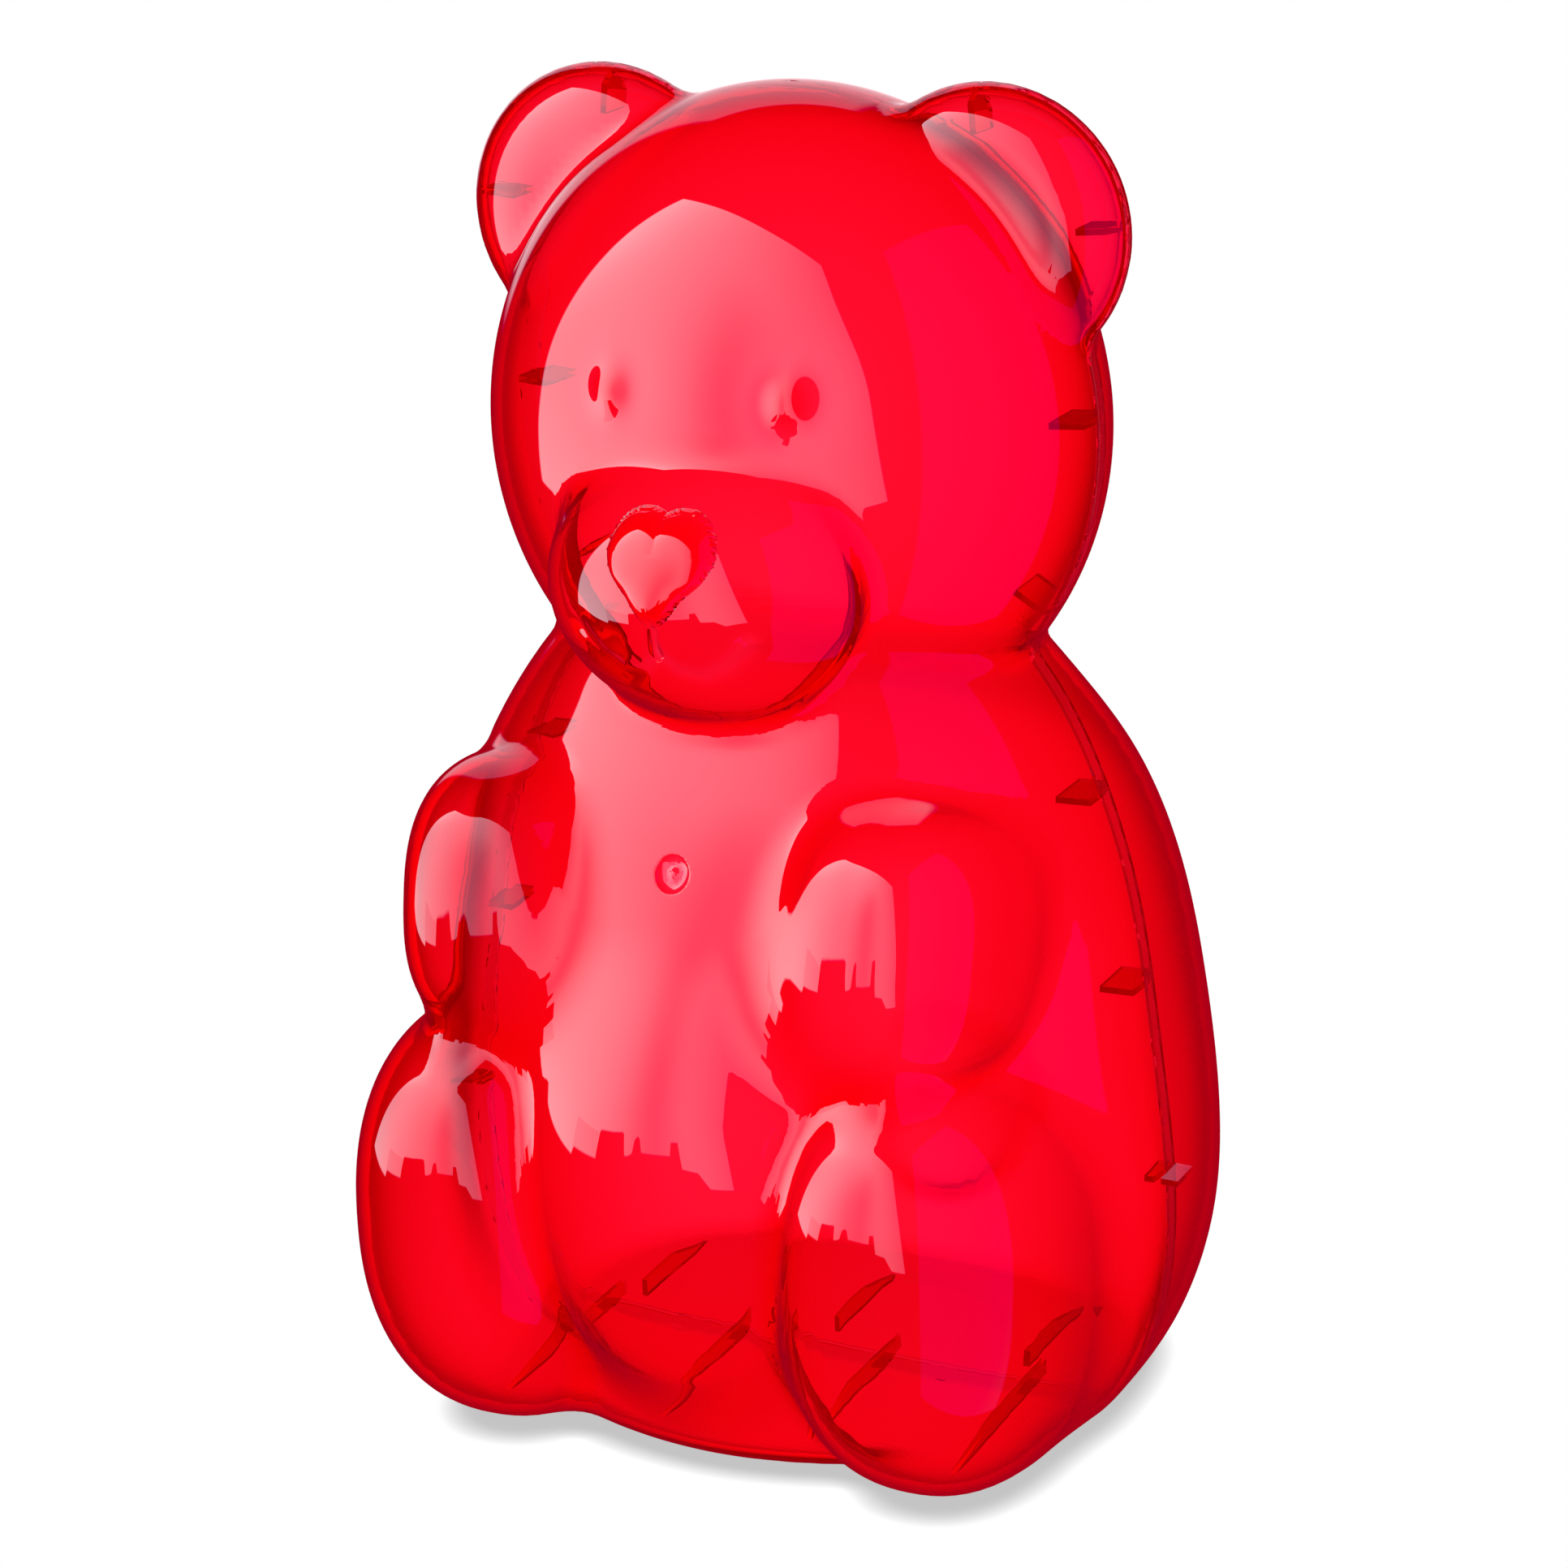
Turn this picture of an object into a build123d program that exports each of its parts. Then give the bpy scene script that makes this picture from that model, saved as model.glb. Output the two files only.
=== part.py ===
"""Seated bear figurine: a hollow clear plastic body moulded as two half shells.

Frame: millimetres, +Z up, bear faces -Y, X = 0 is the plane of symmetry, Y = 0 is the
parting plane between the shells and Z = 0 is the surface the bear sits on.
"""

from build123d import *
import os

os.makedirs("parts", exist_ok=True)

# ---- shell -------------------------------------------------------------------
wall = 2.6
lap_depth = 6.0          # how far the front shell's tongue reaches into the back shell
lap_gap = 0.15           # clearance between tongue and lip, on the faces
tip_gap = 0.3            # clearance at the tongue's tip
base_round = 12.0        # rounding between the trunk's sides and the flat it sits on
reach = 400.0            # larger than the bear, for cutting boxes

# ---- head --------------------------------------------------------------------
head_radii = (70.0, 55.5, 73.5)
head_z = 224.5
ear_radii = (31.5, 14.5, 31.5)
ear_x = 45.0
ear_z = 268.5
ear_dish_radii = (26.0, 8.0, 26.0)
ear_dish_y = -19.0       # the dish is the part of this flat ball that bites into the ear
muzzle_radii = (35.5, 21.0, 28.5)
muzzle_y = -50.0
muzzle_z = 197.5

# ---- face --------------------------------------------------------------------
eye_x = 20.7
eye_z = 240.0
eye_radii = (5.2, 4.0, 6.4)
nose_width = 21.0
nose_height = 20.0
nose_z = 209.5
nose_relief = 2.2        # how far the nose pad stands off the muzzle
button_z = 141.0
button_ball = 5.0        # the button is where a ball of this radius bites the belly
button_depth = 1.4
gate_radius = 1.0        # moulding gate left standing in the middle of the button
mouth_line = 1.6         # width of the mouth grooves
mouth_depth = 0.8

# ---- limbs -------------------------------------------------------------------
arm_radii = (18.0, 42.0, 33.0)
arm_centre = (52.0, -50.0, 124.0)
arm_turn = (-12.0, 0.0, -14.0)
leg_radii = (34.0, 64.0, 50.0)
leg_centre = (58.0, -37.0, 49.4)
leg_turn = (-6.0, 0.0, -15.0)
belly_radii = (58.0, 40.0, 56.0)
belly_centre = (0.0, -44.5, 57.5)
tail_radii = (23.5, 14.0, 24.5)
tail_y = 79.0
tail_z = 37.0

# ---- torso: height, half width, depth in front and depth behind the parting plane ----
torso_levels = (
    (0.0, 70.0, 44.0, 66.0),
    (22.0, 80.0, 60.0, 83.0),
    (55.0, 84.0, 70.0, 89.0),
    (88.0, 84.0, 74.0, 87.0),
    (125.0, 78.0, 73.0, 74.0),
    (150.0, 70.0, 68.0, 57.0),
    (172.0, 58.0, 54.0, 36.0),
    (192.0, 40.0, 38.0, 26.0),
)
front_fullness = 0.56    # 0.55 is an ellipse; larger is squarer
back_fullness = 0.80

# ---- ribs inside the shells ---------------------------------------------------
rib_thickness = 1.4
rib_height = 4.0
rib_root = 0.5           # how far a rib is buried in the wall it grows from
nib_depth = 10.0         # how far the front shell's ribs reach past the parting plane
nib_gap = 0.3            # clearance between those nibs and the back shell
centre_rib_x = 18.0
centre_rib_length = 41.0
leg_rib_x = 55.0
leg_rib_length = 58.0
rear_rib_pitch = 50.0
rear_rib_start = 12.0
rear_rib_end = 48.0
tab_height = 8.0         # side tabs stand taller than the floor ribs
tab_length = 10.0
tip_inset = 1.8          # the tabs' tips stand this far in from the back shell's wall
# each tab: centre it points away from (x, z), distance to the outline, direction in degrees
tipped_tabs = (
    (0.0, head_z, 70.5, 4.0),
    (0.0, head_z, 72.0, -32.0),
    (0.0, 146.0, 72.0, 0.0),
    (0.0, 104.0, 82.5, 0.0),
)
short_tabs = (
    (ear_x, ear_z, 31.5, 5.0),
    (ear_x, ear_z, 31.5, 95.0),
    (0.0, 64.0, 93.0, -2.0),
)


def ellipsoid(radii, inset):
    """An ellipsoid at the origin, poles along Y, shrunk by the inset along every radius."""
    with BuildPart() as ball:
        Sphere(1.0, rotation=(90, 0, 0))
        scale(by=tuple(radius - inset for radius in radii))
    return ball.part


def torso(inset):
    """The trunk: rounded in front, fuller and flatter behind, with a flat under it."""
    with BuildPart() as trunk:
        for height, half_width, front, back in torso_levels:
            a = half_width - inset
            f = front - inset
            b = back - inset
            with BuildSketch(Plane.XY.offset(max(height, inset))):
                with BuildLine():
                    Bezier((a, 0), (a, -front_fullness * f), (front_fullness * a, -f), (0, -f))
                    Bezier((a, 0), (a, back_fullness * b), (back_fullness * a, b), (0, b))
                    mirror(about=Plane.YZ)
                make_face()
        loft()
        fillet(trunk.edges().group_by(Axis.Z)[0], base_round - inset)
    return trunk.part


def dished_ear(inset):
    """A flat round ear with a shallow dish in its front face."""
    dish = ellipsoid(ear_dish_radii, -inset)
    flat_ball = ellipsoid(ear_radii, inset)
    with BuildPart() as ear:
        add(flat_ball)
        with Locations((0, ear_dish_y, 0)):
            add(dish, mode=Mode.SUBTRACT)
    return ear.part


def bear_form(inset):
    """The whole bear as one solid, with every surface moved inward by the inset."""
    trunk = torso(inset)
    head = ellipsoid(head_radii, inset)
    ear = dished_ear(inset)
    muzzle = ellipsoid(muzzle_radii, inset)
    arm = ellipsoid(arm_radii, inset)
    leg = ellipsoid(leg_radii, inset)
    belly = ellipsoid(belly_radii, inset)
    tail = ellipsoid(tail_radii, inset)
    with BuildPart() as form:
        add(trunk)
        with Locations((0, 0, head_z)):
            add(head)
        with Locations((0, muzzle_y, muzzle_z)):
            add(muzzle)
        with Locations(belly_centre):
            add(belly)
        with Locations((0, tail_y, tail_z)):
            add(tail)
        for side in (-1, 1):
            with Locations((side * ear_x, 0, ear_z)):
                add(ear)
            with Locations(Location((side * arm_centre[0], *arm_centre[1:]),
                                    (arm_turn[0], 0, side * arm_turn[2]))):
                add(arm)
            with Locations(Location((side * leg_centre[0], *leg_centre[1:]),
                                    (leg_turn[0], 0, side * leg_turn[2]))):
                add(leg)
        split(bisect_by=Plane.XY.offset(inset), keep=Keep.TOP)
    return form.part


def front_surface_y(form, x, z):
    """Y of the form's frontmost surface on the line through x, z."""
    line = Axis((x, -reach, z), (0, 1, 0))
    return min(point.Y for point, _ in form.shells()[0].find_intersection_points(line))


def slice_along_y(form, y_from, y_to):
    """The part of a form between two planes square to Y."""
    with BuildPart() as piece:
        add(form)
        split(bisect_by=Plane.XZ.offset(-y_from), keep=Keep.BOTTOM)
        split(bisect_by=Plane.XZ.offset(-y_to), keep=Keep.TOP)
    return piece.part


# ---- nested forms: outside, lip, tongue and inside ----------------------------
outer_form = bear_form(0.0)
lip_form = bear_form(wall / 2)
tongue_form = bear_form(wall / 2 + lap_gap)
root_form = bear_form(wall - rib_root)
inner_form = bear_form(wall)

# ---- face ----------------------------------------------------------------------
pad_limit = ellipsoid(muzzle_radii, -nose_relief)
groove_floor = ellipsoid(muzzle_radii, mouth_depth)
half_width = nose_width / 2
half_height = nose_height / 2

with BuildPart() as nose:
    with BuildSketch(Plane.XZ.offset(-muzzle_y)):
        with BuildLine(Location((0, nose_z))):
            Bezier((0, 0.8 * half_height), (0.3 * half_width, 1.1 * half_height),
                   (half_width, 1.15 * half_height), (half_width, 0.3 * half_height))
            Bezier((half_width, 0.3 * half_height), (half_width, -0.3 * half_height),
                   (0.4 * half_width, -0.8 * half_height), (0, -half_height))
            mirror(about=Plane.YZ)
        make_face()
    extrude(amount=reach)
    with Locations((0, muzzle_y, muzzle_z)):
        add(pad_limit, mode=Mode.INTERSECT)

with BuildPart() as mouth:
    with BuildSketch(Plane.XZ.offset(-muzzle_y)):
        with BuildLine(Location((0, nose_z))):
            Line((0, -half_height), (0, -2 * half_height))
            Bezier((0, -2 * half_height), (2, -2.6 * half_height),
                   (10, -2.9 * half_height), (15, -2.1 * half_height))
            Bezier((0, -2 * half_height), (-2, -2.6 * half_height),
                   (-10, -2.9 * half_height), (-15, -2.1 * half_height))
        trace(line_width=mouth_line)
    extrude(amount=reach)
    with Locations((0, muzzle_y, muzzle_z)):
        add(groove_floor, mode=Mode.SUBTRACT)

eye = ellipsoid(eye_radii, 0.0)
eye_y = front_surface_y(outer_form, eye_x, eye_z)
button_y = front_surface_y(outer_form, 0, button_z)


def floor_rib(x):
    """Side outline of a front floor rib: tapered in front, stepped clear of the back shell."""
    length = leg_rib_length if abs(x) == leg_rib_x else centre_rib_length
    return (
        (-length, wall - rib_root),
        (lap_depth, wall - rib_root),
        (lap_depth, wall + nib_gap),
        (nib_depth, wall + nib_gap),
        (nib_depth, wall + rib_height),
        (-length / 2, wall + rib_height),
        (-length, wall),
    )


with BuildPart() as front_ribs:
    for x in (-leg_rib_x, -centre_rib_x, centre_rib_x, leg_rib_x):
        with BuildSketch(Plane.YZ.offset(x - rib_thickness / 2)):
            with BuildLine():
                Polyline(*floor_rib(x), close=True)
            make_face()
        extrude(amount=rib_thickness)


with BuildPart() as tab_roots:
    for x, z, distance, direction in tipped_tabs + short_tabs:
        with Locations(Location((x, 0, z), (0, -direction, 0))):
            with Locations((distance - wall - tab_height / 2, (lap_depth - tab_length) / 2, 0)):
                Box(tab_height + 2 * wall, tab_length + lap_depth, rib_thickness)
    mirror(about=Plane.YZ)
    add(root_form, mode=Mode.INTERSECT)

with BuildPart() as tab_tips:
    for x, z, distance, direction in tipped_tabs:
        with Locations(Location((x, 0, z), (0, -direction, 0))):
            with Locations((distance - wall - tab_height / 2 - tip_inset, nib_depth / 2, 0)):
                Box(tab_height - tip_inset, nib_depth, rib_thickness)
    mirror(about=Plane.YZ)

# ---- front shell: face, belly, arms, legs, and the tongue of the lap joint ------
tongue_slab = slice_along_y(tongue_form, 0.0, lap_depth)
with BuildPart() as front_shell:
    add(outer_form)
    split(bisect_by=Plane.XZ, keep=Keep.TOP)
    with Locations((-eye_x, eye_y, eye_z), (eye_x, eye_y, eye_z)):
        add(eye)
    add(nose.part)
    add(mouth.part, mode=Mode.SUBTRACT)
    with Locations((0, button_y + button_depth - button_ball, button_z)):
        Sphere(button_ball, mode=Mode.SUBTRACT)
    with Locations(Location((0, button_y + button_depth, button_z), (90, 0, 0))):
        Cylinder(gate_radius, wall)
    add(tongue_slab)
    add(inner_form, mode=Mode.SUBTRACT)
    add(front_ribs.part)
    add(tab_roots.part)
    add(tab_tips.part)

# ---- back shell: back of the head, rump and tail, with the lip of the lap joint ----
rebate = slice_along_y(lip_form, -wall, lap_depth + tip_gap)
with BuildPart() as back_shell:
    add(outer_form)
    split(bisect_by=Plane.XZ, keep=Keep.BOTTOM)
    add(inner_form, mode=Mode.SUBTRACT)
    add(rebate, mode=Mode.SUBTRACT)
    for x in (-rear_rib_pitch, 0, rear_rib_pitch):
        with BuildSketch(Plane.YZ.offset(x - rib_thickness / 2)):
            with BuildLine():
                Polyline((rear_rib_start, wall - rib_root), (rear_rib_end, wall - rib_root),
                         (rear_rib_end, wall), ((rear_rib_start + rear_rib_end) / 2, wall + rib_height),
                         (rear_rib_start, wall + rib_height), close=True)
            make_face()
        extrude(amount=rib_thickness)

front_shell.part.label = "front_shell"
back_shell.part.label = "back_shell"
export_step(front_shell.part, "parts/front_shell.step")
export_step(back_shell.part, "parts/back_shell.step")
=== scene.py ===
"""Seated bear figurine in clear red plastic: the visible look of the two half shells.

Lengths are in millimetres while the shapes are worked out, and metres in Blender.
"""

import math

import bmesh
import bpy
import numpy as np
from mathutils import Matrix, Vector


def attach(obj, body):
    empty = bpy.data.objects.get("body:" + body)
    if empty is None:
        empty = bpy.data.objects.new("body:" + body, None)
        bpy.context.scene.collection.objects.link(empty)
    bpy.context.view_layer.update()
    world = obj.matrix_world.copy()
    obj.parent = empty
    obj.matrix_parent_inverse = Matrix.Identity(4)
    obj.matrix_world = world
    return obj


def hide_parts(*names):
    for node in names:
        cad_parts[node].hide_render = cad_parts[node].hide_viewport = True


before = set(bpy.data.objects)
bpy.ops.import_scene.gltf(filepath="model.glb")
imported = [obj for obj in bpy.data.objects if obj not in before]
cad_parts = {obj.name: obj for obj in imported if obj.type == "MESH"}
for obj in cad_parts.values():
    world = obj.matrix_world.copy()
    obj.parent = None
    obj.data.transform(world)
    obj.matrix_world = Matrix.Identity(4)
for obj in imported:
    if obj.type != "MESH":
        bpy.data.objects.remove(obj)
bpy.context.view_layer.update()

# ------------------------------------------------------------------ sizes, mm
WALL = 2.6
LAP = 6.0                      # how far the front shell's tongue reaches into the back shell
LAP_GAP = 0.15                 # clearance beside the tongue
TIP_GAP = 0.3                  # clearance past the tongue's tip
CELL = 2.0                     # side of the grid cells the surfaces are traced on
METRES = 0.001                 # metres in a millimetre

# height, half width, depth in front and depth behind the parting plane
TRUNK = np.array([
    (-16, 50, 30, 50),
    (0, 71, 53, 66),
    (22, 84, 66, 83),
    (55, 87.5, 70, 89),
    (88, 84, 78, 87),
    (125, 78, 72.5, 74),
    (150, 70, 62.5, 57),
    (172, 58, 49, 36),
    (192, 40, 38, 26),
    (212, 18, 18, 16),
], float)
TRUNK_TOP = 212.0
FRONT_POWER = (1.85, 2.4)      # roundness of the front below and above chest height
CHEST = (120.0, 155.0)
BACK_POWER = 3.0

# centre, half sizes, then the tilt in degrees and the power where they are used
HEAD = ((0, 0, 224.5), (70, 53.5, 73.5))
HEAD_BACK_DEPTH = 57.0
MUZZLE = ((0, -49.0, 198.6), (36.2, 24.5, 29.2), 1.35)
EAR = ((45, 0, 268.5), (31.5, 14.5, 31.5))
DISH = ((46, -18.5, 269.5), (25, 8, 25))
ARM = ((48.0, -44.3, 124.3), (22.1, 35.3, 32.0), (-9.7, 0, -8.0), 2.63)
LEG = ((51.5, -40.0, 49.0), (31.0, 52.5, 51.5), (2, 0, -2), 2.3)
LEG_LEAN = 0.21                # how much lower the leg gets per mm backwards
BELLY = ((0, -40.5, 72), (46, 51, 61))
TAIL = ((0, 80, 36), (23.5, 14.5, 24.5))
EYE = (20.7, 240.0, 4.6, 5.8, 1.9)    # x, z, half width, half height, rise
SOCKET = (10, 11, 0.9)                # half width, half height, depth
NOSE_Z = 209.0
NOSE_RISE = 2.8
BUTTON_Z = 141.0
BUTTON_RADIUS = 3.9
GATE_RADIUS = 1.0


# ------------------------------------------------------------------ distance field
def natural_spline(x, y, samples):
    """Smooth curve through the points, read at the samples."""
    n = len(x)
    h = np.diff(x)
    m = np.eye(n)
    rhs = np.zeros(n)
    for i in range(1, n - 1):
        m[i, i - 1:i + 2] = h[i - 1], 2 * (h[i - 1] + h[i]), h[i]
        rhs[i] = 6 * ((y[i + 1] - y[i]) / h[i] - (y[i] - y[i - 1]) / h[i - 1])
    k = np.linalg.solve(m, rhs)
    i = np.clip(np.searchsorted(x, samples) - 1, 0, n - 2)
    d, hi = samples - x[i], h[i]
    slope = (y[i + 1] - y[i]) / hi - hi * (2 * k[i] + k[i + 1]) / 6
    return y[i] + d * slope + d * d * k[i] / 2 + d ** 3 * (k[i + 1] - k[i]) / (6 * hi)


TZ = np.linspace(TRUNK[0, 0], TRUNK[-1, 0], 800)
T_SIDE, T_FRONT, T_BACK = (natural_spline(TRUNK[:, 0], TRUNK[:, c], TZ) for c in (1, 2, 3))
D_SIDE, D_FRONT, D_BACK = (np.gradient(t, TZ) for t in (T_SIDE, T_FRONT, T_BACK))


def smin(a, b, k):
    """Smaller of two distances, blended over k."""
    h = np.clip(0.5 + 0.5 * (b - a) / k, 0, 1)
    return b * (1 - h) + a * h - k * h * (1 - h)


def smax(a, b, k):
    return -smin(-a, -b, k)


def turn(angles):
    rx, ry, rz = np.radians(angles)
    cx, sx, cy, sy, cz, sz = np.cos(rx), np.sin(rx), np.cos(ry), np.sin(ry), np.cos(rz), np.sin(rz)
    mx = np.array([[1, 0, 0], [0, cx, -sx], [0, sx, cx]])
    my = np.array([[cy, 0, sy], [0, 1, 0], [-sy, 0, cy]])
    mz = np.array([[cz, -sz, 0], [sz, cz, 0], [0, 0, 1]])
    return mz @ my @ mx


def ellipsoid(p, centre, radii, angles=None, power=2.0):
    """Distance from an ellipsoid; a power above 2 makes it boxier."""
    q = p - np.array(centre)
    if angles is not None:
        q = q @ turn(angles)
    r = np.array(radii, float)
    u = np.abs(q) / r
    s = np.maximum((u ** power).sum(-1), 1e-9)
    k = s ** (1 / power)
    g = (k / s)[:, None] * u ** (power - 1) / r
    return (k - 1) / np.maximum(np.sqrt((g * g).sum(-1)), 1e-4)


def cone_ball(p, centre, radii, power):
    """A round form whose front is drawn to a blunt point."""
    x, y, z = ((p - np.array(centre)) / np.array(radii)).T
    y = np.maximum(np.abs(y), 1e-3)
    f = x * x + z * z + y ** power - 1
    along = power * y ** (power - 1) / radii[1]
    g = np.sqrt((2 * x / radii[0]) ** 2 + (2 * z / radii[2]) ** 2 + along ** 2)
    return f / np.maximum(g, 1e-3)


def trunk(p):
    """Distance from the body: rounded sections that change with height."""
    y, z = p[:, 1], p[:, 2]
    a, da = np.interp(z, TZ, T_SIDE), np.interp(z, TZ, D_SIDE)
    front = y < 0
    b = np.where(front, np.interp(z, TZ, T_FRONT), np.interp(z, TZ, T_BACK))
    db = np.where(front, np.interp(z, TZ, D_FRONT), np.interp(z, TZ, D_BACK))
    n = np.where(front, np.interp(z, CHEST, FRONT_POWER), BACK_POWER)
    u, v = np.abs(p[:, 0]) / a, np.abs(y) / b
    un, vn = u ** n, v ** n
    s = np.maximum(un + vn, 1e-9)
    k = s ** (1 / n)
    c = k / s
    gx, gy = c * u ** (n - 1) / a, c * v ** (n - 1) / b
    gz = -c * (un * da / a + vn * db / b)
    slope = np.sqrt(gx * gx + gy * gy + gz * gz)
    return np.maximum((k - 1) / np.maximum(slope, 1e-4), z - TRUNK_TOP)


def head(p):
    """Distance from the head, which is deeper behind than in front."""
    q = p.copy()
    q[:, 1] *= np.where(p[:, 1] < 0, 1.0, HEAD[1][1] / HEAD_BACK_DEPTH)
    return ellipsoid(q, *HEAD)


def bear(p):
    """Signed distance to the plain form of the bear, negative inside."""
    q = p.copy()
    q[:, 0] = np.abs(q[:, 0])
    d = smin(trunk(q), ellipsoid(q, *BELLY), 8)
    d = smin(d, head(q), 4)
    ear = smax(ellipsoid(q, *EAR), -ellipsoid(q, *DISH), 3)
    d = smin(d, ear, 4)
    d = smin(d, cone_ball(q, *MUZZLE), 6)
    lean = q.copy()
    lean[:, 2] += LEG_LEAN * (q[:, 1] - LEG[0][1])
    d = smin(d, ellipsoid(lean, *LEG), 6)
    hand = np.clip((-45 - q[:, 1]) / 25, 0, 1) * np.clip((66 - q[:, 0]) / 14, 0, 1)
    soft = hand + 0.15 * np.clip((q[:, 2] - 140) / 25, 0, 1)
    d = smin(d, ellipsoid(q, *ARM), 3.5 + 11 * np.clip(soft, 0, 1))
    d = smin(d, ellipsoid(q, *TAIL), 4)
    return smax(d, -p[:, 2], 3)


def stroke(x, z, points):
    """Distance in the XZ plane from a run of line segments."""
    d = np.full(len(x), 99.0)
    for (ax, az), (bx, bz) in zip(points, points[1:]):
        ux, uz = bx - ax, bz - az
        t = np.clip(((x - ax) * ux + (z - az) * uz) / (ux * ux + uz * uz), 0, 1)
        d = np.minimum(d, np.hypot(x - ax - t * ux, z - az - t * uz))
    return d


def heart(x, z):
    """Distance in the XZ plane from the rounded heart outline of the nose."""
    lobe = np.hypot(x - 4.0, z - 2.6) - 6.9
    side = np.where(z < 2.6, (x - 0.6 - 9.4 * np.clip((z + 11.5) / 14, 0, 1) ** 0.8) * 0.8, 99.0)
    return smax(smin(lobe, side, 2.0), -z - 11.6, 1.5)


def detail(p):
    """The form with the features moulded into its outer surface."""
    d = bear(p)
    x, y, z = np.abs(p[:, 0]), p[:, 1], p[:, 2]
    face = (y < -30) & (z > 170)
    ex, ez, eu, ev, rise = EYE
    su, sv, depth = SOCKET
    socket = np.exp(-(((x - ex) / su) ** 2 + ((z - ez) / sv) ** 2))
    eye = np.exp(-(((x - ex) / eu) ** 2 + ((z - ez) / ev) ** 2))
    d = d + np.where(face, depth * socket - (rise + 0.3) * eye, 0)
    inward = np.clip((1.0 - heart(x, z - NOSE_Z)) / 8.0, 0, 1)
    nose = NOSE_RISE * np.sqrt(1 - (1 - inward) ** 4)
    philtrum = stroke(x, z, ((0, NOSE_Z - 11), (0, NOSE_Z - 19)))
    mouth = stroke(x, z, ((0, NOSE_Z - 19), (4, NOSE_Z - 22.5), (9, NOSE_Z - 23.5),
                          (14, NOSE_Z - 21), (19, NOSE_Z - 16)))
    lip = 1.0 * np.exp(-(philtrum / 1.0) ** 2) + 0.9 * np.exp(-(mouth / 2.2) ** 2)
    d = d + np.where(face & (y < -48), lip - nose, 0)
    button = np.hypot(x, z - BUTTON_Z)
    dent = 1.5 * np.clip(1 - (button / BUTTON_RADIUS) ** 2, 0, None) ** 0.7
    gate = 0.9 * (0.5 - 0.5 * np.tanh((button - GATE_RADIUS) / 0.25))
    return d + np.where((y < -50) & (z < 160), dent - gate, 0)


# ------------------------------------------------------------------ surfaces
def chunks(f, p, size=400000):
    """f over many points, a batch at a time."""
    return np.concatenate([f(p[i:i + size]) for i in range(0, len(p), size)])


def gradient(f, p, h=0.25):
    """Outward unit normals of the field f."""
    g = np.empty_like(p)
    for i in range(3):
        s = np.zeros(3)
        s[i] = h
        g[:, i] = chunks(f, p + s) - chunks(f, p - s)
    return g / np.maximum(np.linalg.norm(g, axis=1, keepdims=True), 1e-9)


def settle(f, p, level, rounds=4, step=1.0):
    """Moves points along the field until it reads level."""
    for _ in range(rounds):
        p = p - gradient(f, p) * (chunks(f, p) - level)[:, None] * step
    return p


def make_grid(low, high):
    """The field at every corner of a grid of cells."""
    axes = [np.arange(l, h + CELL, CELL) for l, h in zip(low, high)]
    grid = np.stack(np.meshgrid(*axes, indexing="ij"), -1).reshape(-1, 3)
    return axes, chunks(bear, grid).reshape([len(a) for a in axes])


def surface_net(axes, values, level):
    """Quads of the surface where values equals level, one vertex per crossed cell."""
    v = values - level
    inside = v < 0
    corner = [(i, j, k) for i in (0, 1) for j in (0, 1) for k in (0, 1)]
    n = [s - 1 for s in v.shape]

    def take(a, c):
        return a[c[0]:c[0] + n[0], c[1]:c[1] + n[1], c[2]:c[2] + n[2]]

    count = sum(take(inside, c).astype(int) for c in corner)
    cells = np.argwhere((count > 0) & (count < 8))
    index = -np.ones(n, int)
    index[tuple(cells.T)] = np.arange(len(cells))
    total = np.zeros((len(cells), 3))
    weight = np.zeros(len(cells))
    for c in corner:
        for axis in range(3):
            if c[axis]:
                continue
            e = list(c)
            e[axis] = 1
            va, vb = take(v, c)[tuple(cells.T)], take(v, e)[tuple(cells.T)]
            cross = (va < 0) != (vb < 0)
            t = np.where(cross, va / np.where(cross, va - vb, 1), 0)
            p = np.array(c, float) + np.outer(t, np.array(e) - np.array(c))
            total += p * cross[:, None]
            weight += cross
    points = (cells + total / weight[:, None]) * CELL + np.array([a[0] for a in axes])
    quads = []
    for axis in range(3):
        b, c = (axis + 1) % 3, (axis + 2) % 3
        lo = [slice(1, n[i]) for i in range(3)]
        lo[axis] = slice(0, n[axis])
        hi = list(lo)
        hi[axis] = slice(1, n[axis] + 1)
        here, there = inside[tuple(lo)], inside[tuple(hi)]
        for flip in (False, True):
            at = np.argwhere((here & ~there) if not flip else (~here & there))
            at = at + np.array([0 if i == axis else 1 for i in range(3)])
            ring = []
            for db, dc in ((-1, -1), (0, -1), (0, 0), (-1, 0)):
                cell = at.copy()
                cell[:, b] += db
                cell[:, c] += dc
                ring.append(index[tuple(cell.T)])
            quad = np.stack(ring if not flip else ring[::-1], 1)
            quads.append(quad)
    return points, np.concatenate(quads)


def to_bmesh(points, quads):
    mesh = bpy.data.meshes.new("work")
    mesh.vertices.add(len(points))
    mesh.vertices.foreach_set("co", points.astype(np.float32).ravel())
    mesh.loops.add(quads.size)
    mesh.loops.foreach_set("vertex_index", quads.astype(np.int32).ravel())
    mesh.polygons.add(len(quads))
    mesh.polygons.foreach_set("loop_start", np.arange(0, quads.size, 4, dtype=np.int32))
    mesh.update(calc_edges=True)
    bm = bmesh.new()
    bm.from_mesh(mesh)
    bpy.data.meshes.remove(mesh)
    return bm


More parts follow.
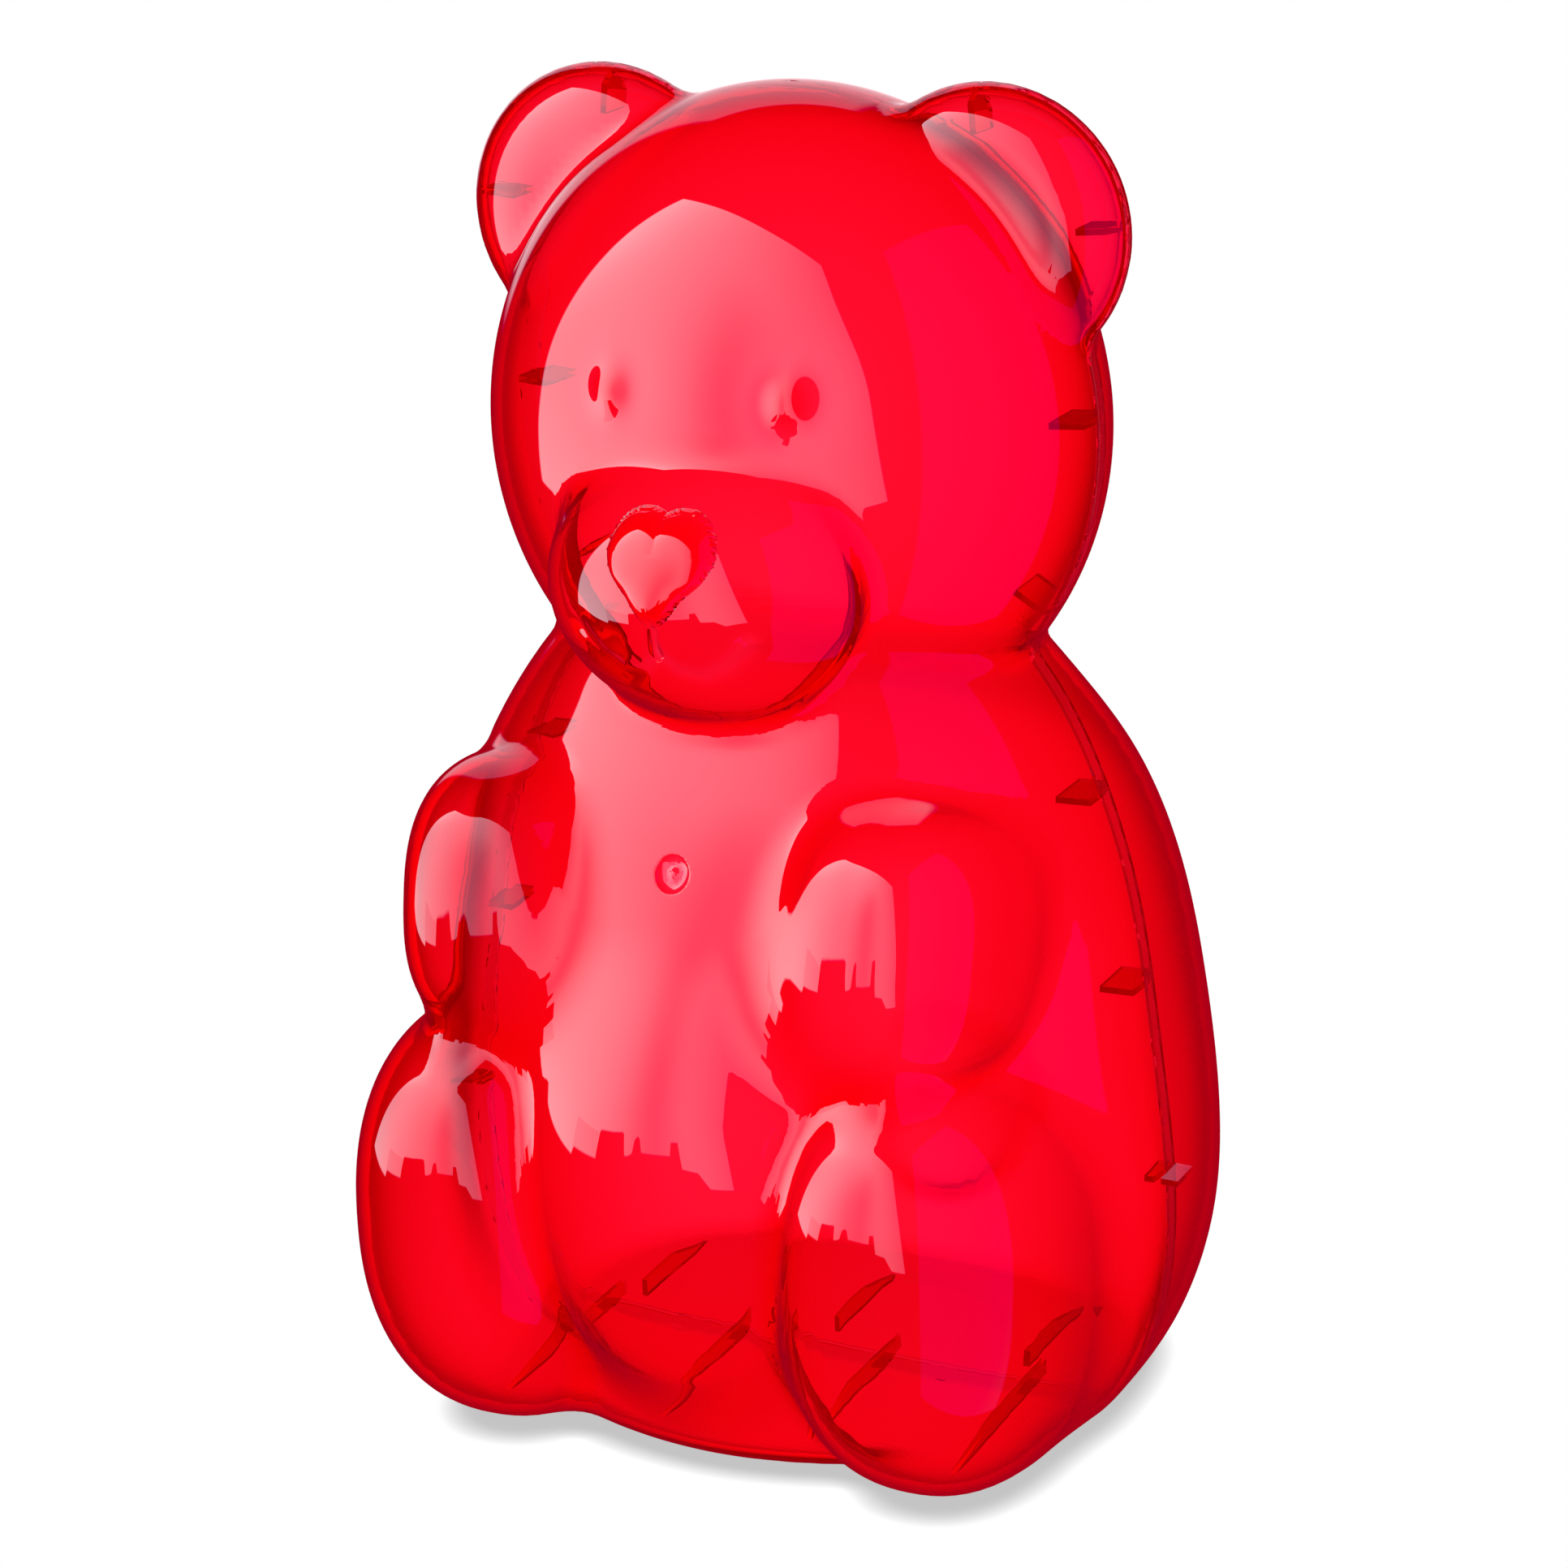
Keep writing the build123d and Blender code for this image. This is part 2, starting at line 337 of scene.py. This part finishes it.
def cut_surface(axes, values, level, keep_from, keep_to, features=False):
    """The level surface between two Y values, cut clean on those planes."""
    points, quads = surface_net(axes, values, level)
    points = settle(bear, points, level)
    used = points[quads][:, :, 1]
    margin = 3 * CELL
    sel = (used.max(1) > keep_from - margin) & (used.min(1) < keep_to + margin)
    bm = to_bmesh(points, quads[sel])
    loose = [v for v in bm.verts if not v.link_faces]
    bmesh.ops.delete(bm, geom=loose, context="VERTS")
    if features:
        refine(bm)
    for y, side in ((keep_from, -1), (keep_to, 1)):
        if abs(y) == FAR:
            continue
        geom = bm.verts[:] + bm.edges[:] + bm.faces[:]
        bmesh.ops.bisect_plane(bm, geom=geom, dist=1e-4, plane_co=(0, y, 0), plane_no=(0, side, 0),
                               clear_outer=True)
    return bm


def refine(bm):
    """Finer faces where the face and button features are, then laid onto them."""
    def wanted(co):
        x, y, z = abs(co.x), co.y, co.z
        if y > -45:
            return False
        nose = x < 24 and 178 < z < 224
        eye = math.hypot(x - EYE[0], z - EYE[1]) < 14
        button = math.hypot(x, z - BUTTON_Z) < 8
        return nose or eye or button

    edges = {e for f in bm.faces if wanted(f.calc_center_median()) for e in f.edges}
    bmesh.ops.subdivide_edges(bm, edges=list(edges), cuts=3, use_grid_fill=True)
    bm.verts.ensure_lookup_table()
    ids = [v.index for v in bm.verts if v.co.y < -30 and abs(v.co.x) < 45]
    pts = np.array([bm.verts[i].co for i in ids])
    pts = settle(detail, pts, 0.0, rounds=5, step=0.8)
    for i, p in zip(ids, pts):
        bm.verts[i].co = p


def append(target, bm, flip):
    """Adds bm to target, turned inside out for an inner surface."""
    if flip:
        bmesh.ops.reverse_faces(bm, faces=bm.faces[:])
    mesh = bpy.data.meshes.new("part")
    bm.to_mesh(mesh)
    target.from_mesh(mesh)
    bpy.data.meshes.remove(mesh)
    bm.free()


def cap_between(bm, y, toward):
    """Fills between the open loops that lie on one Y plane, facing the way toward says."""
    edges = [e for e in bm.edges if len(e.link_faces) < 2 and all(abs(v.co.y - y) < 1e-3 for v in e.verts)]
    made = bmesh.ops.triangle_fill(bm, edges=edges, use_beauty=True, use_dissolve=False,
                                   normal=(0, toward, 0))
    for f in made["geom"]:
        if isinstance(f, bmesh.types.BMFace) and f.normal.y * toward < 0:
            f.normal_flip()


def shell_mesh(layers, caps):
    """One closed skin from outer and inner surfaces and the flat rims between them."""
    bm = bmesh.new()
    for layer, flip in layers:
        append(bm, layer, flip)
    bmesh.ops.remove_doubles(bm, verts=bm.verts[:], dist=1e-5)
    for y, toward in caps:
        cap_between(bm, y, toward)
    bm.normal_update()
    return bm


# ------------------------------------------------------------------ ribs inside the shells
RIB = 1.4                      # thickness
ROOT = 0.5                     # how far a rib or tab is sunk into the wall
NIB_GAP = 0.3                  # clearance under a rib's nib over the other shell's floor
NIB_DEPTH = 10.0               # how far nibs reach past the parting plane
RIB_HEIGHT = 4.0
TAB_HEIGHT = 8.0
TAB_START = -4.0
TAB_END = LAP - 0.4
TIP_INSET = 1.8
FRONT_RIBS = ((-55, 50), (-18, 41), (18, 41), (55, 50))    # x, length
REAR_RIBS = (-50, 0, 50)
REAR_RIB_SPAN = (12, 30, 48)
# x and z they are turned about, distance of the outer surface, degrees
TIPPED_TABS = ((0, 224.5, 70.5, 4), (0, 224.5, 72.0, -32), (0, 146, 72.0, 0), (0, 104, 82.5, 0))
SHORT_TABS = ((45, 268.5, 31.5, 5), (45, 268.5, 31.5, 95), (0, 64, 93.0, -2))


def prism(outline, thickness, place):
    """Closed plate from an outline in its own XY plane, put in place by a matrix."""
    bm = bmesh.new()
    half = thickness / 2
    low = [bm.verts.new(place @ Vector((a, b, -half))) for a, b in outline]
    high = [bm.verts.new(place @ Vector((a, b, half))) for a, b in outline]
    bm.faces.new(low[::-1])
    bm.faces.new(high)
    for i in range(len(low)):
        j = (i + 1) % len(low)
        bm.faces.new((low[i], low[j], high[j], high[i]))
    bmesh.ops.recalc_face_normals(bm, faces=bm.faces[:])
    return bm


def along_floor(x):
    """Outline axes (y, z) at one x."""
    return Matrix(((0, 0, 1, x), (1, 0, 0, 0), (0, 1, 0, 0), (0, 0, 0, 1)))


def radial(x, z, degrees, side):
    """Outline axes (distance from x, z and y), turned about Y."""
    a = math.radians(degrees)
    c, s = math.cos(a), math.sin(a)
    m = Matrix(((c, 0, -s, x), (0, 1, 0, 0), (s, 0, c, z), (0, 0, 0, 1)))
    return Matrix.Diagonal((side, 1, 1, 1)) @ m


def front_ribs():
    """Floor ribs of the front shell and the tabs along its parting line."""
    ribs = []
    for x, length in FRONT_RIBS:
        outline = ((-length, WALL - ROOT), (LAP, WALL - ROOT), (LAP, WALL + NIB_GAP),
                   (NIB_DEPTH, WALL + NIB_GAP), (NIB_DEPTH, WALL + RIB_HEIGHT),
                   (-length / 2, WALL + RIB_HEIGHT), (-length, WALL))
        ribs.append(prism(outline, RIB, along_floor(x)))
    for side in (-1, 1):
        for x, z, distance, degrees in TIPPED_TABS + SHORT_TABS:
            inner = distance - WALL - TAB_HEIGHT
            outer = distance - WALL + ROOT
            tip = distance - WALL - TIP_INSET
            outline = [(inner, TAB_START), (outer, TAB_START), (outer, TAB_END)]
            if (x, z, distance, degrees) in TIPPED_TABS:
                outline += [(tip, TAB_END), (tip, NIB_DEPTH), (inner, NIB_DEPTH)]
            else:
                outline += [(inner, TAB_END)]
            ribs.append(prism(outline, RIB, radial(x, z, degrees, side)))
    return ribs


def back_ribs():
    start, middle, end = REAR_RIB_SPAN
    outline = ((start, WALL - ROOT), (end, WALL - ROOT), (end, WALL), (middle, WALL + RIB_HEIGHT),
               (start, WALL + RIB_HEIGHT))
    return [prism(outline, RIB, along_floor(x)) for x in REAR_RIBS]


def to_object(bm, name):
    """Object in metres from a bmesh in millimetres."""
    bm.transform(Matrix.Scale(METRES, 4))
    mesh = bpy.data.meshes.new(name)
    bm.to_mesh(mesh)
    bm.free()
    obj = bpy.data.objects.new(name, mesh)
    bpy.context.scene.collection.objects.link(obj)
    return obj


def unite(obj, ribs):
    """Joins the ribs to the shell as one closed skin."""
    tools = []
    for rib in ribs:
        tool = to_object(rib, "rib")
        tools.append(tool)
        mod = obj.modifiers.new("join", "BOOLEAN")
        mod.operation = "UNION"
        mod.solver = "MANIFOLD"
        mod.object = tool
    bpy.context.view_layer.update()
    deps = bpy.context.evaluated_depsgraph_get()
    mesh = bpy.data.meshes.new_from_object(obj.evaluated_get(deps))
    obj.modifiers.clear()
    old, obj.data = obj.data, mesh
    bpy.data.meshes.remove(old)
    for tool in tools:
        data = tool.data
        bpy.data.objects.remove(tool)
        bpy.data.meshes.remove(data)


def shade(obj, levels):
    """True surface normals on the curved walls, flat ones on rims and ribs.

    levels are the field's values on the shell's surfaces, the outer one first.
    """
    mesh = obj.data
    n = len(mesh.vertices)
    co = np.empty(n * 3, np.float32)
    mesh.vertices.foreach_get("co", co)
    co = co.reshape(-1, 3).astype(float) * 1000    # mm
    plain = chunks(bear, co)
    fine = chunks(detail, co)
    kind = np.full(n, -1)      # 0 on the outer surface, 1 on an inner one, -1 elsewhere
    kind[np.abs(fine) < 0.12] = 0
    for level in levels[1:]:
        kind[np.abs(plain - level) < 0.1] = 1
    loops = np.empty(len(mesh.loops), np.int32)
    mesh.loops.foreach_get("vertex_index", loops)
    faces = len(mesh.polygons)
    flat = np.empty(faces * 3, np.float32)
    mesh.polygons.foreach_get("normal", flat)
    flat = flat.reshape(-1, 3)
    total = np.empty(faces, np.int32)
    mesh.polygons.foreach_get("loop_total", total)
    area = np.empty(faces, np.float32)
    mesh.polygons.foreach_get("area", area)
    of_face = np.repeat(np.arange(faces), total)
    start = np.concatenate([[0], np.cumsum(total)[:-1]])
    known = np.minimum.reduceat((kind[loops] >= 0).astype(int), start)[of_face] > 0
    face_n = flat[of_face]
    normals = np.zeros((n, 3))
    np.add.at(normals, loops[known], face_n[known] * area[of_face][known][:, None])
    normals /= np.maximum(np.linalg.norm(normals, axis=1, keepdims=True), 1e-12)
    outer = np.flatnonzero(kind == 0)
    exact = gradient(detail, co[outer])
    good = (exact * normals[outer]).sum(1) > 0.985
    normals[outer[good]] = exact[good]
    want = normals[loops]
    use = known & ((want * face_n).sum(1) > 0.8)
    result = np.where(use[:, None], want, face_n)
    mesh.polygons.foreach_set("use_smooth", np.ones(faces, bool))
    mesh.normals_split_custom_set(result.astype(np.float32))
    mesh.update()


# ------------------------------------------------------------------ the two shells
BACK_START = 0.1               # hairline between the shells on the outside
LIP = -WALL / 2                # depth of the back shell's rebate under the outer surface
TONGUE = -WALL / 2 - LAP_GAP
LAP_END = LAP + TIP_GAP
FAR = 1000.0                   # past the end of the bear, so no cut on that side
GRID = ((-102, -120, -8), (102, 116, 310))


def build_shells():
    """Front shell with its tongue, back shell with the rebate that takes it."""
    axes, values = make_grid(*GRID)
    front_layers = [
        (cut_surface(axes, values, 0.0, -FAR, 0.0, features=True), False),
        (cut_surface(axes, values, TONGUE, 0.0, LAP), False),
        (cut_surface(axes, values, -WALL, -FAR, LAP), True),
    ]
    back_layers = [
        (cut_surface(axes, values, 0.0, BACK_START, FAR), False),
        (cut_surface(axes, values, LIP, BACK_START, LAP_END), True),
        (cut_surface(axes, values, -WALL, LAP_END, FAR), True),
    ]
    front = to_object(shell_mesh(front_layers, ((0.0, 1), (LAP, 1))), "bear_front")
    back = to_object(shell_mesh(back_layers, ((BACK_START, -1), (LAP_END, -1))), "bear_back")
    unite(front, front_ribs())
    unite(back, back_ribs())
    shade(front, (0.0, TONGUE, -WALL))
    shade(back, (0.0, LIP, -WALL))
    return front, back


# ------------------------------------------------------------------ material
# Panels the shell mirrors: azimuth and elevation it lies at in degrees, distance in metres.
# Windows on them: left, right, low and high edge and softness, in metres.
MAIN_PANEL = (-30, -17, 0.384)
MAIN_WINDOW = (-0.54, 0.77, -0.25, 1.53, 0.012)
MAIN_LEVEL = 4.45
LAMP_FALL = -1.1               # exponent per metre across
LAMP_LOW = (0.35, 0.95)        # heights over which the low part's dimming fades out
SEAM = (0.17, 0.13, 0.45)      # across, half width, how much it dims
LEFT_END = (-0.60, -0.10, 0.5)    # dimming fades from, to, how much it dims
SIDE_PANEL = (74, 0, 0.55)
SIDE_WINDOW = (-0.30, 0.42, -0.60, 1.00, 0.012)
SIDE_LEVEL = 0.5
BACKDROP = (-150, 0, 0.6)
BACKDROP_WINDOW = (-0.22, 0.30, 0.20, 1.0, 0.03)
BACKDROP_LEVEL = 0.9
# Outline of what stands on the floor before the main panel: (across, height), in metres.
SKYLINE = (
    (-1.0, 0.12), (-0.21, 0.13), (-0.20, 0.15), (-0.07, 0.16), (-0.062, 0.225), (0.0, 0.235),
    (0.046, 0.245), (0.055, 0.19), (0.085, 0.20), (0.095, 0.24), (0.115, 0.25), (0.125, 0.21),
    (0.26, 0.215), (0.265, 0.255), (0.31, 0.26), (0.315, 0.18), (0.42, 0.165), (0.50, 0.10), (1.0, 0.0),
)
SKYLINE_BASE = 0.3             # added to every height, as the curve node holds no values below zero
SKYLINE_SOFT = 0.004
CRATE = (-0.205, -0.068, 0.0, 0.217, 0.002)    # something before the panel that dims it
CRATE_DIMS = 0.2
IOR = 1.49                     # how strongly the surface mirrors
BEND = 1.18                    # how strongly light bends: less than in real plastic, to keep edges red
MOST_LOST = 0.45               # largest share that mirroring takes from light entering a wall
TRAPPED_AFTER = 6.5            # light that has met more surfaces than this ends as an even red
TRAPPED_RED = (0.80, 0.0, 0.025, 1)
# painted shade: a flat dark red shown where a wall is seen edge-on, in place of the dark mirrored
# surroundings and long paths through the plastic
EDGE_SHADE_RED = (0.38, 0.0, 0.010, 1)
EDGE_SHADE_FROM = 0.5                # cosine of the viewing angle where walls start to turn to the painted edge shade
RED = (0.995, 0.0, 0.34, 1)    # the plastic absorbs (1 - RED) * DENSITY per metre
DENSITY = 1000.0
RIPPLE = 0.00005               # height of the faint unevenness of the surface, metres
GREEN_SHORT = 0.03             # how much less green than red the mirrored light has
BLUE_LIFT = 0.005              # how much more blue it has
BLUE_RISE = 40.0               # how soon that extra blue sets in


class Graph:
    """Short calls for building a node tree."""

    def __init__(self, tree):
        self.tree = tree
        tree.nodes.clear()

    def node(self, kind, inputs=None, **settings):
        n = self.tree.nodes.new(kind)
        for key, value in settings.items():
            setattr(n, key, value)
        for key, value in (inputs or {}).items():
            self.plug(n.inputs[key], value)
        return n

    def plug(self, socket, value):
        """Links a socket, or sets a plain value."""
        if isinstance(value, bpy.types.NodeSocket):
            self.tree.links.new(value, socket)
        else:
            socket.default_value = value

    def math(self, op, *values, clamp=False):
        n = self.node("ShaderNodeMath", operation=op, use_clamp=clamp)
        for i, value in enumerate(values):
            self.plug(n.inputs[i], value)
        return n.outputs[0]

    def vector(self, op, *values):
        n = self.node("ShaderNodeVectorMath", operation=op)
        for i, value in enumerate(values):
            self.plug(n.inputs[i], value)
        return n.outputs["Value"] if op in ("DOT_PRODUCT", "LENGTH", "DISTANCE") else n.outputs["Vector"]

    def ramp(self, value, low, high):
        """Smooth 0 to 1 as value goes from low to high."""
        n = self.node("ShaderNodeMapRange", interpolation_type="SMOOTHSTEP")
        for i, v in enumerate((value, low, high, 0.0, 1.0)):
            self.plug(n.inputs[i], v)
        return n.outputs[0]


def aim(azimuth, elevation):
    """Unit vector: azimuth from the bear's front towards +X, elevation from level."""
    a, e = math.radians(azimuth), math.radians(elevation)
    return Vector((math.sin(a) * math.cos(e), -math.cos(a) * math.cos(e), math.sin(e)))


def panel_coords(g, position, reflected, azimuth, elevation, distance):
    """Where the mirrored ray meets a flat panel: across, up, and whether it heads there."""
    n = aim(azimuth, elevation)
    up = aim(azimuth, elevation + 90)
    across = Vector((math.cos(math.radians(azimuth)), math.sin(math.radians(azimuth)), 0))
    toward = g.vector("DOT_PRODUCT", reflected, n)
    gap = g.math("SUBTRACT", distance, g.vector("DOT_PRODUCT", position, n))
    t = g.math("DIVIDE", gap, g.math("MAXIMUM", toward, 0.02))
    scaled = g.node("ShaderNodeVectorMath", {0: reflected}, operation="SCALE")
    g.plug(scaled.inputs["Scale"], t)
    hit = g.vector("ADD", position, scaled.outputs["Vector"])
    facing = g.ramp(toward, 0.02, 0.06)
    return g.vector("DOT_PRODUCT", hit, across), g.vector("DOT_PRODUCT", hit, up), facing


def window(g, u, v, left, right, low, high, soft):
    """Mask of a rectangle with slightly soft edges."""
    m = g.ramp(u, left - soft, left + soft)
    m = g.math("MULTIPLY", m, g.math("SUBTRACT", 1.0, g.ramp(u, right - soft, right + soft)))
    m = g.math("MULTIPLY", m, g.ramp(v, low - soft, low + soft))
    return g.math("MULTIPLY", m, g.math("SUBTRACT", 1.0, g.ramp(v, high - soft, high + soft)))


def lamp_brightness(g, u, v):
    """The main panel fades to its right; low down it has a dimmer seam and a dimmer left end."""
    across, half_width, seam_dims = SEAM
    left_from, left_to, left_dims = LEFT_END
    fall = g.math("EXPONENT", g.math("MULTIPLY", u, LAMP_FALL))
    low = g.math("SUBTRACT", 1.0, g.ramp(v, *LAMP_LOW))
    off = g.math("DIVIDE", g.math("SUBTRACT", u, across), half_width)
    seam = g.math("EXPONENT", g.math("MULTIPLY", g.math("MULTIPLY", off, off), -1.0))
    left = g.math("SUBTRACT", 1.0, g.ramp(u, left_from, left_to))
    most = g.math("MAXIMUM", g.math("MULTIPLY", seam, seam_dims), g.math("MULTIPLY", left, left_dims))
    dim = g.math("MULTIPLY", low, most)
    return g.math("MULTIPLY", fall, g.math("SUBTRACT", 1.0, dim))


def skyline(g, u):
    """Lower edge of the main panel, where things on the studio floor stand in front of it."""
    n = g.node("ShaderNodeFloatCurve", {0: 1.0, 1: g.node(
        "ShaderNodeMapRange", {0: u, 1: -1.0, 2: 1.0, 3: 0.0, 4: 1.0}).outputs[0]})
    curve = n.mapping.curves[0]
    curve.points[0].location = (0.0, SKYLINE[0][1] + SKYLINE_BASE)
    curve.points[1].location = (1.0, SKYLINE[-1][1] + SKYLINE_BASE)
    for across, height in SKYLINE[1:-1]:
        curve.points.new((across + 1) / 2, height + SKYLINE_BASE)
    for point in curve.points:
        point.handle_type = "VECTOR"
    n.mapping.update()
    return n.outputs[0]


def studio_light(g, position, reflected):
    """Brightness a mirror on the surface would show of the studio's panels."""
    u, v, facing = panel_coords(g, position, reflected, *MAIN_PANEL)
    edge = skyline(g, u)
    above = g.math("SUBTRACT", g.math("ADD", v, SKYLINE_BASE), edge)
    open_part = g.ramp(above, -SKYLINE_SOFT, SKYLINE_SOFT)
    main = g.math("MULTIPLY", window(g, u, v, *MAIN_WINDOW), facing)
    crate = window(g, u, v, *CRATE)
    main = g.math("MULTIPLY", main, g.math("MULTIPLY_ADD", crate, -CRATE_DIMS, 1.0))
    main = g.math("MULTIPLY", g.math("MULTIPLY", main, open_part), lamp_brightness(g, u, v))
    main = g.math("MULTIPLY", main, MAIN_LEVEL)
    u, v, facing = panel_coords(g, position, reflected, *SIDE_PANEL)
    side = g.math("MULTIPLY", window(g, u, v, *SIDE_WINDOW), facing)
    side = g.math("MULTIPLY", side, SIDE_LEVEL)
    u, v, facing = panel_coords(g, position, reflected, *BACKDROP)
    rear = g.math("MULTIPLY", window(g, u, v, *BACKDROP_WINDOW), facing)
    rear = g.math("MULTIPLY", rear, BACKDROP_LEVEL)
    return g.math("ADD", g.math("ADD", main, side), rear)


def clear_red():
    """Tinted clear plastic: mirrored panels on top, light bent and tinted on its way through."""
    mat = bpy.data.materials.new("clear_red_plastic")
    mat.use_nodes = True
    g = Graph(mat.node_tree)
    geo = g.node("ShaderNodeNewGeometry")
    ripple = g.node("ShaderNodeTexNoise", {"Scale": 45.0, "Detail": 1.5, "Roughness": 0.4})
    g.plug(ripple.inputs["Vector"], geo.outputs["Position"])
    bump = g.node("ShaderNodeBump", {"Strength": 1.0, "Distance": RIPPLE, "Height": ripple.outputs[0]})
    normal = bump.outputs[0]
    incoming = geo.outputs["Incoming"]
    backwards = g.node("ShaderNodeVectorMath", {0: incoming}, operation="SCALE")
    backwards.inputs["Scale"].default_value = -1.0
    reflected = g.vector("REFLECT", backwards.outputs["Vector"], normal)
    fresnel = g.node("ShaderNodeFresnel", {"IOR": IOR, "Normal": normal}).outputs[0]
    light = g.math("MULTIPLY", studio_light(g, geo.outputs["Position"], reflected), fresnel)
    lift = g.math("MINIMUM", g.math("MULTIPLY", light, BLUE_RISE), 1.0)
    # colour of the painted reflection: mirrored panel light with a little less green and a little more
    # blue
    painted_reflection_colour = g.node("ShaderNodeCombineColor", {
        0: light,
        1: g.math("MAXIMUM", g.math("SUBTRACT", light, GREEN_SHORT), 0.0),
        2: g.math("MULTIPLY_ADD", lift, BLUE_LIFT, light),
    })
    path = g.node("ShaderNodeLightPath")
    front = g.math("SUBTRACT", 1.0, geo.outputs["Backfacing"])
    show = g.math("MULTIPLY", path.outputs["Is Camera Ray"], front)
    # painted reflection: the studio panels' mirrored light is added as emission on front faces seen by the
    # camera
    painted_reflection = g.node("ShaderNodeEmission", {"Color": painted_reflection_colour.outputs[0], "Strength": show})
    glass = g.node("ShaderNodeBsdfGlass", {
        "Color": (1, 1, 1, 1), "Roughness": 0.0, "IOR": BEND, "Normal": normal})
    through = g.math("SUBTRACT", 1.0, g.math("MINIMUM", fresnel, MOST_LOST))
    clear = g.node("ShaderNodeCombineColor", {0: through, 1: through, 2: through})
    refraction = g.node("ShaderNodeBsdfRefraction", {
        "Color": clear.outputs[0], "Roughness": 0.0, "IOR": BEND, "Normal": normal})
    pick = g.node("ShaderNodeMixShader", {
        0: geo.outputs["Backfacing"], 1: refraction.outputs[0], 2: glass.outputs[0]})
    trapped = g.math("GREATER_THAN", path.outputs["Ray Depth"], TRAPPED_AFTER)
    glow = g.node("ShaderNodeEmission", {"Color": TRAPPED_RED, "Strength": 1.0})
    # painted shade: walls seen edge-on are mixed over to a flat dark red emission
    steep = g.math("ABSOLUTE", g.vector("DOT_PRODUCT", geo.outputs["True Normal"], incoming))
    edge = g.math("SUBTRACT", 1.0, g.ramp(steep, 0.0, EDGE_SHADE_FROM))
    painted_edge_shade = g.node("ShaderNodeEmission", {"Color": EDGE_SHADE_RED, "Strength": 1.0})
    body = g.node("ShaderNodeMixShader", {0: trapped, 1: pick.outputs[0], 2: glow.outputs[0]})
    body = g.node("ShaderNodeMixShader", {0: edge, 1: body.outputs[0], 2: painted_edge_shade.outputs[0]})
    surface = g.node("ShaderNodeAddShader", {0: body.outputs[0], 1: painted_reflection.outputs[0]})
    absorb = g.node("ShaderNodeVolumeAbsorption", {"Color": RED, "Density": DENSITY})
    g.node("ShaderNodeOutputMaterial", {"Surface": surface.outputs[0], "Volume": absorb.outputs[0]})
    return mat


# ------------------------------------------------------------------ stage
ROOM_LEVEL = 1.13              # white room as seen through the plastic; the camera itself sees 1
FLOOR_HALF = 3.0
FLOOR_DROP = 0.0005
SHADOW_REACH = 0.007
CAMERA_AIM = (24.88, 17.60)    # azimuth and elevation it looks from
CAMERA_ROLL = -0.94
CAMERA_TARGET = (-0.00308, -0.0035, 0.14192)
CAMERA_DISTANCE = 0.97658
CAMERA_LENS = 100.645
BOUNCES = 24


def build_stage():
    """White room and pale floor with a soft contact shadow."""
    world = bpy.data.worlds.new("white_studio")
    bpy.context.scene.world = world
    world.use_nodes = True
    g = Graph(world.node_tree)
    path = g.node("ShaderNodeLightPath")
    level = g.math("MULTIPLY_ADD", path.outputs["Is Camera Ray"], 1.0 - ROOM_LEVEL, ROOM_LEVEL)
    back = g.node("ShaderNodeBackground", {"Color": (1, 1, 1, 1), "Strength": level})
    g.node("ShaderNodeOutputWorld", {"Surface": back.outputs[0]})

    mesh = bpy.data.meshes.new("floor")
    s, z = FLOOR_HALF, -FLOOR_DROP
    mesh.from_pydata([(-s, -s, z), (s, -s, z), (s, s, z), (-s, s, z)], [], [(0, 1, 2, 3)])
    floor = bpy.data.objects.new("floor", mesh)
    bpy.context.scene.collection.objects.link(floor)
    mat = bpy.data.materials.new("pale_floor")
    mat.use_nodes = True
    g = Graph(mat.node_tree)
    path = g.node("ShaderNodeLightPath")
    shade_node = g.node("ShaderNodeAmbientOcclusion", {"Distance": SHADOW_REACH}, samples=16)
    dim = g.node("ShaderNodeMapRange", {
        0: shade_node.outputs["AO"], 1: 0.35, 2: 0.97, 3: 0.55, 4: 1.0})
    camera = g.node("ShaderNodeEmission", {"Color": (1, 1, 1, 1), "Strength": dim.outputs[0]})
    plain = g.node("ShaderNodeEmission", {"Color": (1, 1, 1, 1), "Strength": ROOM_LEVEL})
    mix = g.node("ShaderNodeMixShader", {
        0: path.outputs["Is Camera Ray"], 1: plain.outputs[0], 2: camera.outputs[0]})
    g.node("ShaderNodeOutputMaterial", {"Surface": mix.outputs[0]})
    floor.data.materials.append(mat)


def build_camera():
    cam = bpy.data.cameras.new("camera")
    cam.lens = CAMERA_LENS
    cam.sensor_width = 36.0
    cam.clip_end = 20.0
    obj = bpy.data.objects.new("camera", cam)
    bpy.context.scene.collection.objects.link(obj)
    back = aim(*CAMERA_AIM)
    turned = math.radians(CAMERA_AIM[0])
    right = Vector((math.cos(turned), math.sin(turned), 0))
    up = back.cross(right)
    roll = math.radians(CAMERA_ROLL)
    across = math.cos(roll) * right + math.sin(roll) * up
    upward = -math.sin(roll) * right + math.cos(roll) * up
    m = Matrix((across, upward, back)).transposed().to_4x4()
    m.translation = Vector(CAMERA_TARGET) + back * CAMERA_DISTANCE
    obj.matrix_world = m
    bpy.context.scene.camera = obj


def render_settings():
    scene = bpy.context.scene
    scene.view_settings.view_transform = "Standard"
    scene.view_settings.look = "None"
    scene.cycles.use_denoising = True
    scene.cycles.max_bounces = BOUNCES
    scene.cycles.transmission_bounces = BOUNCES
    scene.cycles.glossy_bounces = 8
    scene.cycles.caustics_refractive = True
    scene.cycles.caustics_reflective = True


# ------------------------------------------------------------------ build
front, back = build_shells()
mat = clear_red()
for o, body, node in ((front, "front", "front_shell"), (back, "back", "back_shell")):
    o.data.materials.clear()
    o.data.materials.append(mat)
    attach(o, body)
    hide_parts(node)
build_stage()
build_camera()
render_settings()
